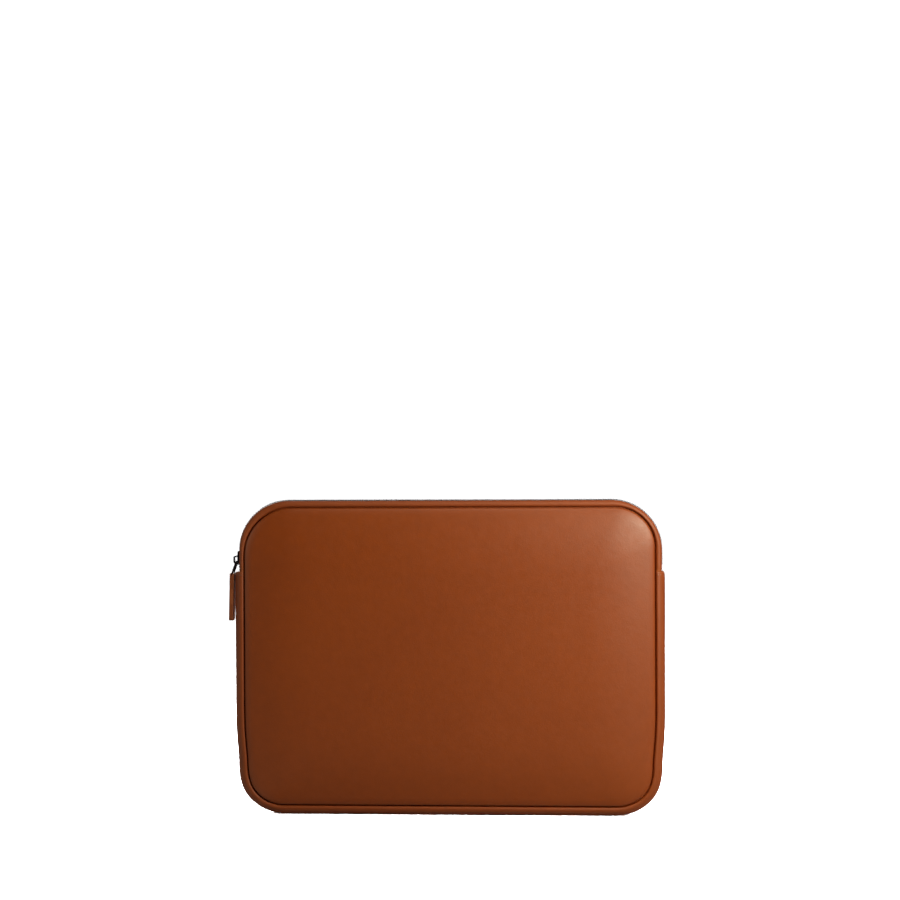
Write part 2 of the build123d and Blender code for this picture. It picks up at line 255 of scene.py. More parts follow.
def gusset_track(step=2.0):
    """The seam line from the left end of the gusset down and round to its right end."""
    cz = SEAM_LOW + CORNER
    cx = SEAM_HALF - CORNER
    side = int((ZIP_START - cz) / step)
    turn = int(CORNER * pi / 2 / step)
    across = int(2 * cx / step)
    samples = [(x, z, -nx, -nz) for x, z, nx, nz in
               line_samples((-SEAM_HALF, ZIP_START), (-SEAM_HALF, cz), side)]
    samples += arc_samples((-cx, cz), CORNER, 180, 270, turn)
    samples += [(x, z, -nx, -nz) for x, z, nx, nz in
                line_samples((-cx, SEAM_LOW), (cx, SEAM_LOW), across)]
    samples += arc_samples((cx, cz), CORNER, 270, 360, turn)
    samples += [(x, z, -nx, -nz) for x, z, nx, nz in
                line_samples((SEAM_HALF, cz), (SEAM_HALF, ZIP_START), side)]
    samples.append((SEAM_HALF, ZIP_START, 1.0, 0.0))
    return samples


def sweep(name, samples, section, material, smooth_angle=40, place=None):
    """A closed section of (out, y) points carried along samples, capped at both ends."""
    if place is None:
        def place(i, sample, out, y):
            return (sample[0] + sample[2] * out, y, sample[1] + sample[3] * out)
    count = len(section)
    verts = []
    for i, sample in enumerate(samples):
        for out, y in section:
            verts.append(place(i, sample, out, y))
    faces = []
    for i in range(len(samples) - 1):
        for j in range(count):
            k = (j + 1) % count
            faces.append((i * count + j, i * count + k, (i + 1) * count + k, (i + 1) * count + j))
    faces.append(tuple(range(count)))
    last = (len(samples) - 1) * count
    faces.append(tuple(last + j for j in reversed(range(count))))
    return new_object(name, verts, faces, material, smooth_angle)


# --- materials ----------------------------------------------------------------

def srgb(r, g, b):
    """A linear colour from 0-255 sRGB values."""
    def linear(c):
        c /= 255
        return c / 12.92 if c <= 0.04045 else ((c + 0.055) / 1.055) ** 2.4
    return (linear(r), linear(g), linear(b), 1.0)


class Nodes:
    """A short way to build a node tree."""

    def __init__(self, name):
        self.material = bpy.data.materials.new(name)
        self.material.use_nodes = True
        self.tree = self.material.node_tree
        self.tree.nodes.clear()
        self.out = self.add("ShaderNodeOutputMaterial")
        self.shader = self.add("ShaderNodeBsdfPrincipled")
        self.link(self.shader, "BSDF", self.out, "Surface")
        self.coords = self.add("ShaderNodeTexCoord")

    def add(self, kind, **values):
        node = self.tree.nodes.new(kind)
        for key, value in values.items():
            if key in node.inputs:
                node.inputs[key].default_value = value
            else:
                setattr(node, key, value)
        return node

    def link(self, a, output, b, socket):
        self.tree.links.new(a.outputs[output], b.inputs[socket])

    def noise(self, scale, detail=2.0, roughness=0.5):
        node = self.add("ShaderNodeTexNoise", Scale=scale, Detail=detail, Roughness=roughness)
        self.link(self.coords, "Object", node, "Vector")
        return node

    def ramp(self, source, output, low, high, low_colour, high_colour):
        node = self.add("ShaderNodeValToRGB")
        node.color_ramp.elements[0].position = low
        node.color_ramp.elements[0].color = low_colour
        node.color_ramp.elements[1].position = high
        node.color_ramp.elements[1].color = high_colour
        self.link(source, output, node, "Fac")
        return node

    def mix(self, kind, factor, a, b):
        """Mix two colour nodes; factor is a number or a (node, output) pair."""
        node = self.add("ShaderNodeMix", data_type="RGBA", blend_type=kind)
        if isinstance(factor, tuple):
            self.tree.links.new(factor[0].outputs[factor[1]], node.inputs[0])
        else:
            node.inputs[0].default_value = factor
        for value, index in ((a, 6), (b, 7)):
            if isinstance(value, tuple) and len(value) == 4:
                node.inputs[index].default_value = value
            else:
                self.tree.links.new(value[0].outputs[value[1]], node.inputs[index])
        return node

    def bump(self, source, output, strength, distance, normal=None):
        node = self.add("ShaderNodeBump", Strength=strength, Distance=distance)
        self.link(source, output, node, "Height")
        if normal is not None:
            self.link(normal, "Normal", node, "Normal")
        return node


def leather_material(name, base, dark, light, roughness=0.44, grain=1.0):
    """Semi-matte tanned leather: fine pebbled grain, soft mottling and a painted highlight that makes
    convex edges paler.
    """
    n = Nodes(name)
    cloud = n.noise(9.0, 2.0)
    tone = n.ramp(cloud, "Fac", 0.30, 0.70, dark, base)
    streak = n.noise(120.0, 4.0, 0.6)
    tone2 = n.ramp(streak, "Fac", 0.30, 0.72, (0.93, 0.93, 0.93, 1), (1.04, 1.04, 1.04, 1))
    mixed = n.mix("MULTIPLY", 0.8, (tone, "Color"), (tone2, "Color"))
    pores = n.add("ShaderNodeTexVoronoi", Scale=1150.0, feature="F1", Randomness=1.0)
    n.link(n.coords, "Object", pores, "Vector")
    pore_tone = n.ramp(pores, "Distance", 0.05, 0.55, (1, 1, 1, 1), (0.9, 0.88, 0.86, 1))
    speckled = n.mix("MULTIPLY", 0.6, (mixed, 2), (pore_tone, "Color"))
    highlight_geometry = n.add("ShaderNodeNewGeometry")
    # Painted highlight: convex edges are mixed towards the paler colour, standing in for light on the
    # rounded crowns.
    edge = n.ramp(highlight_geometry, "Pointiness", 0.515, 0.60, (0, 0, 0, 1), (1, 1, 1, 1))
    final = n.mix("MIX", (edge, "Color"), (speckled, 2), light)
    n.link(final, 2, n.shader, "Base Color")
    rough_noise = n.noise(180.0, 3.0)
    rough = n.add("ShaderNodeMapRange")
    rough.inputs["To Min"].default_value = roughness - 0.06
    rough.inputs["To Max"].default_value = roughness + 0.07
    n.link(rough_noise, "Fac", rough, "Value")
    n.link(rough, "Result", n.shader, "Roughness")
    n.shader.inputs["Specular IOR Level"].default_value = 0.72
    n.shader.inputs["Specular Tint"].default_value = (1.0, 0.99, 0.76, 1.0)
    fine = n.noise(2600.0, 3.0, 0.6)
    wide = n.noise(210.0, 2.0)
    b1 = n.bump(wide, "Fac", 0.12 * grain, 0.0006)
    b2 = n.bump(pores, "Distance", 0.22 * grain, 0.00018, b1)
    b3 = n.bump(fine, "Fac", 0.16 * grain, 0.00012, b2)
    n.link(b3, "Normal", n.shader, "Normal")
    return n.material


def metal_material(name, colour, roughness):
    """Dark plated metal with faint polishing marks and a painted highlight that brightens convex edges."""
    n = Nodes(name)
    cloud = n.noise(900.0, 3.0)
    tone = n.ramp(cloud, "Fac", 0.3, 0.7, tuple(c * 0.75 for c in colour[:3]) + (1,), colour)
    highlight_geometry = n.add("ShaderNodeNewGeometry")
    # Painted highlight: convex edges are mixed towards a much brighter grey, standing in for glints on the
    # metal.
    edge = n.ramp(highlight_geometry, "Pointiness", 0.52, 0.62, (0, 0, 0, 1), (1, 1, 1, 1))
    painted_glint = tuple(min(c * 2.6, 1) for c in colour[:3]) + (1,)
    final = n.mix("MIX", (edge, "Color"), (tone, "Color"), painted_glint)
    n.link(final, 2, n.shader, "Base Color")
    n.shader.inputs["Metallic"].default_value = 1.0
    marks = n.noise(2400.0, 4.0, 0.7)
    rough = n.add("ShaderNodeMapRange")
    rough.inputs["To Min"].default_value = roughness - 0.08
    rough.inputs["To Max"].default_value = roughness + 0.1
    n.link(marks, "Fac", rough, "Value")
    n.link(rough, "Result", n.shader, "Roughness")
    n.link(n.bump(marks, "Fac", 0.08, 0.00005), "Normal", n.shader, "Normal")
    return n.material


def woven_material(name, colour, thread_mm, roughness=0.85):
    """A fine plain weave, drawn from two crossed sets of waves."""
    n = Nodes(name)
    scale = 1000 / thread_mm / 6.2832
    waves = []
    for direction in ("X", "Y", "Z"):
        wave = n.add("ShaderNodeTexWave", wave_type="BANDS", bands_direction=direction,
                     Scale=scale, Distortion=0.6, Detail=1.0)
        wave.inputs["Detail Scale"].default_value = 2.0
        n.link(n.coords, "Object", wave, "Vector")
        waves.append(wave)
    first = n.mix("MULTIPLY", 1.0, (waves[0], "Color"), (waves[2], "Color"))
    weave = n.mix("ADD", 0.5, (first, 2), (waves[1], "Color"))
    light = tuple(min(c * 1.5, 1) for c in colour[:3]) + (1,)
    dark = tuple(c * 0.55 for c in colour[:3]) + (1,)
    tone = n.ramp(weave, 2, 0.1, 0.8, dark, light)
    n.link(tone, "Color", n.shader, "Base Color")
    n.shader.inputs["Roughness"].default_value = roughness
    n.shader.inputs["Sheen Weight"].default_value = 0.3
    n.link(n.bump(weave, 2, 0.5, 0.00015), "Normal", n.shader, "Normal")
    return n.material


def suede_material(name, colour):
    """Soft brushed lining: short nap with cloudy light and dark patches."""
    n = Nodes(name)
    nap = n.noise(60.0, 4.0, 0.65)
    dark = tuple(c * 0.7 for c in colour[:3]) + (1,)
    light = tuple(min(c * 1.35, 1) for c in colour[:3]) + (1,)
    tone = n.ramp(nap, "Fac", 0.3, 0.7, dark, light)
    n.link(tone, "Color", n.shader, "Base Color")
    n.shader.inputs["Roughness"].default_value = 0.95
    n.shader.inputs["Sheen Weight"].default_value = 0.7
    n.shader.inputs["Sheen Roughness"].default_value = 0.35
    fibres = n.noise(3200.0, 3.0, 0.7)
    n.link(n.bump(fibres, "Fac", 0.5, 0.0002), "Normal", n.shader, "Normal")
    return n.material


def foam_material(name, colour):
    """Open-cell padding."""
    n = Nodes(name)
    cells = n.add("ShaderNodeTexVoronoi", Scale=700.0)
    n.link(n.coords, "Object", cells, "Vector")
    dark = tuple(c * 0.5 for c in colour[:3]) + (1,)
    tone = n.ramp(cells, "Distance", 0.1, 0.6, dark, colour)
    n.link(tone, "Color", n.shader, "Base Color")
    n.shader.inputs["Roughness"].default_value = 0.95
    n.link(n.bump(cells, "Distance", 0.6, 0.0004), "Normal", n.shader, "Normal")
    return n.material


TAN = srgb(167, 72, 5)
TAN_DARK = srgb(161, 68, 4)
# Painted highlight colour, mixed in on the leather's convex edges.
TAN_EDGE_HIGHLIGHT = srgb(184, 94, 34)
leather = leather_material("leather", TAN, TAN_DARK, TAN_EDGE_HIGHLIGHT)
band_leather = leather_material("band leather", TAN, TAN_DARK, TAN_EDGE_HIGHLIGHT, 0.55)
tab_leather = leather_material("pull leather", TAN, TAN_DARK, TAN_EDGE_HIGHLIGHT, 0.55)
# The burnished edge's third colour is likewise a painted highlight on its convex edges.
edge_paint = leather_material("burnished edge", srgb(150, 74, 30), srgb(126, 60, 24),
                              srgb(170, 92, 46), 0.4, 0.5)
metal = metal_material("gunmetal", srgb(46, 40, 37), 0.34)
tape = woven_material("zip tape", srgb(66, 38, 24), 0.45)
suede = suede_material("brushed lining", srgb(78, 66, 58))
foam = foam_material("padding", srgb(120, 120, 122))
thread = woven_material("thread", srgb(176, 118, 78), 0.3, 0.6)


# --- the padded panels --------------------------------------------------------

SHOULDER = 50.0
SIDE_STEPS = 52
TOP_STEPS = 80
CORNER_STEPS = 16
CROWN_BULGE = 0.5

# each pair is an inset from the seam and the depth of the leather's face there
LEATHER_PROFILE = [
    (0.6, 5.9), (0.62, 7.9), (0.8, 8.75), (1.3, 9.4), (2.3, 9.9), (3.6, 10.4), (5.2, 10.9),
    (7.0, 11.32), (9.0, 11.7), (12.0, 12.22), (16.0, 12.85), (21.0, 13.55), (27.0, 14.22),
    (34.0, 14.8), (42.0, 15.25), (SHOULDER, 15.5),
]


def panel_ring(inset):
    """Points round a panel at an inset from the seam, the same number for every inset."""
    share = 1 - inset / SHOULDER
    x = SEAM_HALF - inset
    low = SEAM_LOW + inset
    high = SEAM_HIGH - inset
    r = CORNER * share
    rt = CORNER_TOP_LEFT * share
    ring = line_samples((-x, low + r), (-x, high - rt), SIDE_STEPS)
    ring += arc_samples((-x + rt, high - rt), rt, 180, 90, CORNER_STEPS)
    ring += line_samples((-x + rt, high), (x - r, high), TOP_STEPS)
    ring += arc_samples((x - r, high - r), r, 90, 0, CORNER_STEPS)
    ring += line_samples((x, high - r), (x, low + r), SIDE_STEPS)
    ring += arc_samples((x - r, low + r), r, 0, -90, CORNER_STEPS)
    ring += line_samples((x - r, low), (-x + r, low), TOP_STEPS)
    ring += arc_samples((-x + r, low + r), r, 270, 180, CORNER_STEPS)
    return [(p[0], p[1]) for p in ring]


def panel_bulge(x, z):
    """How far the middle of a panel stands above its shoulders."""
    across = 1 - (x / SEAM_HALF) ** 2
    middle = (SEAM_LOW + SEAM_HIGH) / 2
    upright = 1 - ((z - middle) / (middle - SEAM_LOW)) ** 2
    return CROWN_BULGE * max(across, 0) * max(upright, 0)


def hide_waves(x, z, side):
    """Slow waves a hide takes over its padding, fading out towards the seam."""
    edge = min(SEAM_HALF - abs(x), z - SEAM_LOW, SEAM_HIGH - z)
    fade = smoothstep(2.0, 30.0, edge)
    seed = 11.0 if side == FRONT else 47.0
    slow = noise.noise(Vector((x / 95, z / 95, seed)))
    mid = noise.noise(Vector((x / 34, z / 34, seed + 9)))
    return fade * (0.22 * slow + 0.07 * mid)


def panel_sheet(name, side, profile, material, waves=1.0, steps=2):
    """An open sheet over one panel, from a profile of (inset, depth) points."""
    levels = smooth_curve(profile, steps)
    rings = [panel_ring(min(max(inset, 0), SHOULDER)) for inset, _ in levels]
    count = len(rings[0])
    verts = []
    for (inset, depth), ring in zip(levels, rings):
        for x, z in ring:
            lift = depth + panel_bulge(x, z) * smoothstep(0, 30, inset)
            lift += waves * hide_waves(x, z, side)
            verts.append((x, side * lift, z))
    faces = []
    for i in range(len(rings) - 1):
        for j in range(count):
            k = (j + 1) % count
            faces.append((i * count + j, i * count + k, (i + 1) * count + k, (i + 1) * count + j))
    x_in = SEAM_HALF - SHOULDER
    z_low = SEAM_LOW + SHOULDER
    z_high = SEAM_HIGH - SHOULDER
    start = len(verts)
    depth = levels[-1][1]
    for row in range(SIDE_STEPS + 1):
        z = z_low + (z_high - z_low) * row / SIDE_STEPS
        for column in range(TOP_STEPS + 1):
            x = -x_in + 2 * x_in * column / TOP_STEPS
            lift = depth + panel_bulge(x, z) + waves * hide_waves(x, z, side)
            verts.append((x, side * lift, z))
    wide = TOP_STEPS + 1
    for row in range(SIDE_STEPS):
        for column in range(TOP_STEPS):
            a = start + row * wide + column
            faces.append((a, a + 1, a + 1 + wide, a + wide))
    return new_object(name, verts, faces, material, 60)


def solidify(obj, thickness, outwards):
    """Give a sheet thickness, in millimetres, on its inner side."""
    modifier = obj.modifiers.new("solidify", "SOLIDIFY")
    modifier.thickness = thickness * MM
    modifier.offset = outwards
    modifier.use_even_offset = True
    return apply_modifiers(obj, 60)


def face_outwards(obj, side):
    """Turn an open sheet so that its faces look away from the sleeve's middle."""
    bm = bmesh.new()
    bm.from_mesh(obj.data)
    total = sum((f.normal.y * f.calc_area() for f in bm.faces))
    if total * side < 0:
        bmesh.ops.reverse_faces(bm, faces=bm.faces)
    bm.to_mesh(obj.data)
    bm.free()
    return obj


def mouth_blend(obj, side):
    """Bake a piece's placement into its mesh."""
    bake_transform(obj)
    return obj


def side_word(side):
    return "front" if side == FRONT else "back"


def make_panel(side):
    """The leather, padding and lining of one side."""
    word = side_word(side)
    skin = panel_sheet(f"{word}_leather", side, LEATHER_PROFILE, leather)
    face_outwards(skin, side)
    solidify(skin, LEATHER, -1)
    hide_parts(f"{word}_panel", f"{word}_panel_mouth")
    mouth_blend(skin, side)

    pad_profile = [
        (3.2, 8.95), (3.4, 8.98), (4.4, 9.3), (8.0, 10.15), (12.0, 10.9), (18.0, 11.8), (26.0, 12.75),
        (36.0, 13.6), (SHOULDER, 14.15),
    ]
    pad = panel_sheet(f"{word}_padding", side, pad_profile, foam, 1.0, 1)
    face_outwards(pad, side)
    flat_profile = [(3.2, 9.0), (10, 8.95), (SHOULDER, 8.95)]
    flat = panel_sheet(f"{word}_padding_back", side, flat_profile, foam, 0.0, 1)
    for vertex in flat.data.vertices:
        vertex.co.y = side * 8.95 * MM
    pad = join(f"{word}_padding", [pad, flat])
    finish_mesh(pad.data, 60)
    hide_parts(f"{word}_foam", f"{word}_foam_mouth")
    mouth_blend(pad, side)

    lining_profile = [(1.9, 8.0), (2.4, 8.15), (4, 8.3), (10, 8.4), (SHOULDER, 8.4)]
    cloth = panel_sheet(f"{word}_lining_cloth", side, lining_profile, suede, 0.0, 1)
    for vertex in cloth.data.vertices:
        over = abs(vertex.co.y) / MM - 8.4
        if over > 0:
            vertex.co.y = side * 8.4 * MM
    face_outwards(cloth, side)
    solidify(cloth, 0.45, 1)
    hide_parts(f"{word}_lining", f"{word}_lining_mouth")
    mouth_blend(cloth, side)


# --- the gusset ---------------------------------------------------------------

def mirrored(half):
    """A section symmetric about y = 0, from its half with y above 0."""
    return half + [(out, -y) for out, y in reversed(half)]


def gusset_outer():
    """The gusset's outer line in section, from the front seam round to the back seam."""
    half = smooth_curve([
        (-0.7, 5.6), (0.1, 5.7), (0.4, 6.6), (0.5, 7.7), (0.85, 8.35), (1.6, 8.7), (2.7, 8.6),
        (4.2, 7.95), (5.9, 6.6),
        (7.15, 4.9), (GUSSET_OUT - 0.15, 3.1), (GUSSET_OUT, 1.4), (GUSSET_OUT, 0.2),
    ], 3)
    return mirrored(half)


def gusset_place(x, z, nx, nz, out, y):
    """Where a point of the gusset's section goes, drawn in a little towards its two ends."""
    out -= 0.35 * smoothstep(ZIP_START - 6, ZIP_START, z) * out / GUSSET_OUT
    if out > 1 and z > SEAM_LOW + 8:
        out += 0.16 * noise.noise(Vector((x / 40, y / 9, z / 40)))
    return (x + nx * out, y, z + nz * out)


def make_gusset():
    """The side and bottom band, its two ends folded in over themselves."""
    inner = smooth_curve([(-0.7, 5.2), (1.6, 5.6), (3.6, 5.3), (5.4, 4.5), (6.2, 3.1), (6.4, 0.2)], 3)
    section = gusset_outer() + list(reversed(mirrored(inner)))
    turned = [(0.0, 0.90), (0.3, 0.965), (0.8, 0.995), (1.5, 1.0)]
    left = [(-SEAM_HALF, ZIP_START - drop, -1.0, 0.0) for drop, _ in turned]
    right = [(SEAM_HALF, ZIP_START - drop, 1.0, 0.0) for drop, _ in reversed(turned)]
    samples = left + gusset_track()[1:-1] + right
    shares = [share for _, share in turned]

    def place(i, sample, out, y):
        near = min(i, len(samples) - 1 - i)
        share = shares[near] if near < len(shares) else 1.0
        return gusset_place(*sample, out * share, y * (0.5 + share / 2))

    band = sweep("gusset_leather", samples, section, band_leather, 50, place)
    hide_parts("side_gusset")
    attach(band, "sleeve")

    outer = smooth_curve([(-0.6, 5.1), (1.5, 5.45), (3.4, 5.15), (5.2, 4.35), (6.0, 2.95), (6.2, 0.2)], 2)
    inner = smooth_curve([(-0.6, 4.65), (1.4, 5.0), (3.1, 4.7), (4.75, 3.95), (5.5, 2.75), (5.7, 0.2)], 2)
    cloth_section = mirrored(outer) + list(reversed(mirrored(inner)))

    def place_cloth(i, sample, out, y):
        return gusset_place(*sample, out, y)

    cloth = sweep("gusset_lining_cloth", gusset_track(3.0), cloth_section, suede, 50, place_cloth)
    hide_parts("gusset_lining")
    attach(cloth, "sleeve")


def stitch(verts, faces, start, end, up, radius=0.26):
    """Add one short thread from start to end, arched slightly along up."""
    rings = 7
    around = 8
    axis = (Vector(end) - Vector(start))
    length = axis.length
    axis.normalize()
    across = axis.cross(up).normalized()
    base = len(verts)
    for i in range(rings):
        t = i / (rings - 1)
        swell = (sin(pi * (0.08 + 0.84 * t))) ** 0.5
        arch = radius * 0.55 * sin(pi * t) - radius * 0.35
        centre = Vector(start) + axis * length * t + Vector(up) * arch
        for j in range(around):
            a = 2 * pi * j / around
            r = radius * swell
            verts.append(tuple(centre + across * r * cos(a) + Vector(up) * r * sin(a)))
    for i in range(rings - 1):
        for j in range(around):
            k = (j + 1) % around
            faces.append((base + i * around + j, base + i * around + k,
                          base + (i + 1) * around + k, base + (i + 1) * around + j))
    faces.append(tuple(base + j for j in range(around)))
    faces.append(tuple(base + (rings - 1) * around + j for j in reversed(range(around))))


def stitched_row(path, pitch, length):
    """Start and end of each stitch in a row along a path of 2-D points."""
    lengths = [0.0]
    for (a, b), (c, d) in zip(path, path[1:]):
        lengths.append(lengths[-1] + hypot(c - a, d - b))

    def at(distance):
        i = 1
        while i < len(lengths) - 1 and lengths[i] < distance:
            i += 1
        share = (distance - lengths[i - 1]) / (lengths[i] - lengths[i - 1])
        return tuple(a + (b - a) * share for a, b in zip(path[i - 1], path[i]))

    number = int(lengths[-1] / pitch)
    first = (lengths[-1] - (number - 1) * pitch) / 2
    return [
        (at(first + k * pitch - length / 2), at(first + k * pitch + length / 2))
        for k in range(number)
    ]


def make_gusset_stitches(side_x):
    """The row of stitches across one folded end of the gusset, from seam to seam."""
    verts, faces = [], []
    z = ZIP_START - 2.5
    visible = [(out, y) for out, y in gusset_outer() if out > 1.0]
    for start, end in stitched_row(visible, 2.1, 1.35):
        ends = []
        for out, y in (start, end):
            ends.append(Vector(gusset_place(side_x * SEAM_HALF, z, side_x, 0.0, out, y)))
        along = ends[1] - ends[0]
        up = Vector((side_x * abs(along.y), -side_x * copysign(along.x, side_x * along.y), 0)).normalized()
        middle = (ends[0] + ends[1]) / 2
        if up.dot(Vector((side_x, 0, 0)) + Vector((0, middle.y / 9, 0))) < 0:
            up = -up
        stitch(verts, faces, ends[0] + up * 0.1, ends[1] + up * 0.1, up, 0.3)
    word = "left" if side_x < 0 else "right"
    row = new_object(f"gusset_stitching_{word}", verts, faces, thread, 60)
    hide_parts(f"gusset_stitches_{word}")
    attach(row, "sleeve")


# --- the zip ------------------------------------------------------------------

def parting(z, x):
    """How far a row of teeth is pushed aside by the wedge of the slider."""
    if x > 0:
        return 0.0
    return ROW_PARTING * smoothstep(0, 4, SLIDER_Z + 1.5 - z)


def make_facing(side):
    """The leather band between a panel and the zip, with its row of stitching."""
    word = side_word(side)
    zip_samples = zip_track()
    seam_samples = zip_track(left=-SEAM_HALF, right=SEAM_HALF, r_left=CORNER_TOP_LEFT, r_right=CORNER)
    section = smooth_curve([
        (-0.8, 5.6), (0.1, 5.7), (0.4, 6.7), (0.5, 7.7), (0.95, 8.4), (2.1, 8.85), (3.4, 8.5),
        (4.4, 7.65), (5.05, 6.6), (FACING_OUT, 6.0), (FACING_OUT - 0.1, 5.6), (4.75, 5.42),
        (4.2, 5.36), (3.85, 5.6), (3.4, 6.1), (2.0, 6.3), (0.8, 5.5), (-0.8, 5.2),
    ], 2)
    section = [(out, side * y) for out, y in section]

    def place(i, sample, out, y):
        x, z, nx, nz = sample
        sx, sz = seam_samples[i][:2]
        share = smoothstep(0.0, 3.0, out)
        bx = sx + (x - sx) * share
        bz = sz + (z - sz) * share
        tuck = 1 - 0.06 * (1 - smoothstep(ZIP_START, ZIP_START + 4, z))
        if out > 1:
            out += 0.12 * noise.noise(Vector((x / 30, side * 5.0, z / 30)))
        return (bx + nx * out * tuck, y * tuck, bz + nz * out * tuck)

    band = sweep(f"facing_{word}", zip_samples, section, band_leather, 50, place)
    verts, faces = [], []
    for i in range(2, len(zip_samples) - 2):
        x, z, nx, nz = zip_samples[i]
        x2, z2 = zip_samples[i + 1][:2]
        along = Vector((x2 - x, 0, z2 - z)).normalized()
        up = Vector((nx, side * 0.18, nz)).normalized()
        out = FACING_OUT - 0.16
        centre = Vector((x + nx * out, side * 5.95, z + nz * out))
        stitch(verts, faces, centre - along * 0.72, centre + along * 0.72, up, 0.2)
    seam = new_object(f"facing_{word}_stitches", verts, faces, thread, 60)
    band = join(f"facing_{word}", [band, seam])
    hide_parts(f"zip_facing_{word}")
    mouth_blend(band, side)


def make_tape(side):
    """One woven tape, its edge taken back where the rows part."""
    word = side_word(side)
    top = [(4.2, TAPE_EDGE), (4.25, 2.6), (4.2, 4.6), (3.5, 5.7), (2.3, 7.2)]
    section = top + [(out - 0.5, y) for out, y in reversed(top)]
    section = [(out, side * y) for out, y in section]

    def place(i, sample, out, y):
        x, z, nx, nz = sample
        shift = parting(z, x) * smoothstep(5.4, 1.6, abs(y)) * side if abs(y) < 5.4 else 0.0
        return (x + nx * out, y + shift, z + nz * out)

    strip = sweep(f"tape_{word}", zip_track(step=1.5), section, tape, 50, place)
    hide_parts(f"zip_tape_{word}")
    mouth_blend(strip, side)


def tooth_mesh(side):
    """Points and faces of one rounded tooth, as (out, y, along)."""
    bm = bmesh.new()
    bmesh.ops.create_cube(bm, size=1.0)
    high = TOOTH_HIGH + 0.2
    mid_out = (TOOTH_LOW + high) / 2
    tall = high - TOOTH_LOW
    wide = TOOTH_WIDTH + TOOTH_HEAD
    mid_y = (TOOTH_WIDTH - TOOTH_HEAD) / 2
    for vertex in bm.verts:
        out = mid_out + vertex.co.x * tall
        y = side * (mid_y + vertex.co.y * wide)
        taper = 0.62 if vertex.co.x > 0 else 1.0
        along = vertex.co.z * TOOTH_LENGTH * taper
        vertex.co = (out, y, along)
    bmesh.ops.bevel(bm, geom=bm.edges[:], offset=0.2, segments=3, affect="EDGES", profile=0.5)
    bmesh.ops.recalc_face_normals(bm, faces=bm.faces)
    bm.verts.ensure_lookup_table()
    verts = [tuple(v.co) for v in bm.verts]
    faces = [tuple(v.index for v in f.verts) for f in bm.faces]
    bm.free()
    return verts, faces


def track_point(samples, distance):
    """Place and directions at a distance along sampled points."""
    for i in range(len(samples) - 1):
        x, z, nx, nz = samples[i]
        x2, z2, nx2, nz2 = samples[i + 1]
        length = hypot(x2 - x, z2 - z)
        if distance <= length:
            t = distance / length
            n = Vector((nx + (nx2 - nx) * t, nz + (nz2 - nz) * t)).normalized()
            return x + (x2 - x) * t, z + (z2 - z) * t, n.x, n.y
        distance -= length
    return None


def make_teeth(side):
    """One row of teeth, half a pitch out of step with the other row."""
    word = side_word(side)
    samples = zip_track(step=0.5)
    tooth_verts, tooth_faces = tooth_mesh(side)
    verts, faces = [], []
    distance = TEETH_START - ZIP_START
    if side == BACK:
        distance += TOOTH_PITCH / 2
    while True:
        spot = track_point(samples, distance)
        if spot is None or (spot[0] > 0 and spot[1] < TEETH_END):
            break
        x, z, nx, nz = spot
        shift = side * parting(z, x)
        base = len(verts)
        for out, y, along in tooth_verts:
            verts.append((x + nx * out + nz * along, y + shift, z + nz * out - nx * along))
        faces += [tuple(base + i for i in face) for face in tooth_faces]
        distance += TOOTH_PITCH
    row = new_object(f"teeth_{word}", verts, faces, metal, 50)
    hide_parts(f"zip_teeth_{word}")
    mouth_blend(row, side)


def box_object(name, low, high, material, round_by):
    """A box between two corners with rounded edges."""
    corners = [(x, y, z) for x in (low[0], high[0]) for y in (low[1], high[1]) for z in (low[2], high[2])]
    faces = [(0, 1, 3, 2), (4, 6, 7, 5), (0, 4, 5, 1), (2, 3, 7, 6), (0, 2, 6, 4), (1, 5, 7, 3)]
    return bevel(new_object(name, corners, faces, material), round_by, 3)


def make_stops():
    """The clips that end the zip."""
    for node, name in (("top_stop_front", "stop_top_front"), ("top_stop_back", "stop_top_back"),
                       ("bottom_stop", "stop_bottom")):
        low, high = cad_box_mm(node)
        clip = box_object(name, low, high, metal, 0.35)
        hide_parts(node)
        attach(clip, "sleeve")


# --- the slider and its pull --------------------------------------------------

def prism(name, outline, low, high, material, round_by, segments=3):
    """A plate from an outline of (y, z) points between two distances out from the zip line."""
    count = len(outline)
    verts = [(ZIP_LEFT - low, y, z) for y, z in outline] + [(ZIP_LEFT - high, y, z) for y, z in outline]
    faces = [tuple(range(count)), tuple(reversed(range(count, 2 * count)))]
    for j in range(count):
        k = (j + 1) % count
        faces.append((j, k, count + k, count + j))
    return bevel(new_object(name, verts, faces, material), round_by, segments, 30)


def rounded_outline(points, radius, steps=5):
    """A closed outline with its corners rounded off."""
    result = []
    count = len(points)
    for i in range(count):
        a = Vector(points[i - 1])
        b = Vector(points[i])
        c = Vector(points[(i + 1) % count])
        to_a = (a - b).normalized()
        to_c = (c - b).normalized()
        angle = to_a.angle(to_c)
        reach = radius / max(sin(angle / 2) / cos(angle / 2), 1e-6)
        cut = min(reach, (a - b).length * 0.45, (c - b).length * 0.45)
        start = b + to_a * cut
        end = b + to_c * cut
        for step in range(steps + 1):
            t = step / steps
            result.append(tuple(start * (1 - t) ** 2 + b * 2 * t * (1 - t) + end * t * t))
    return result


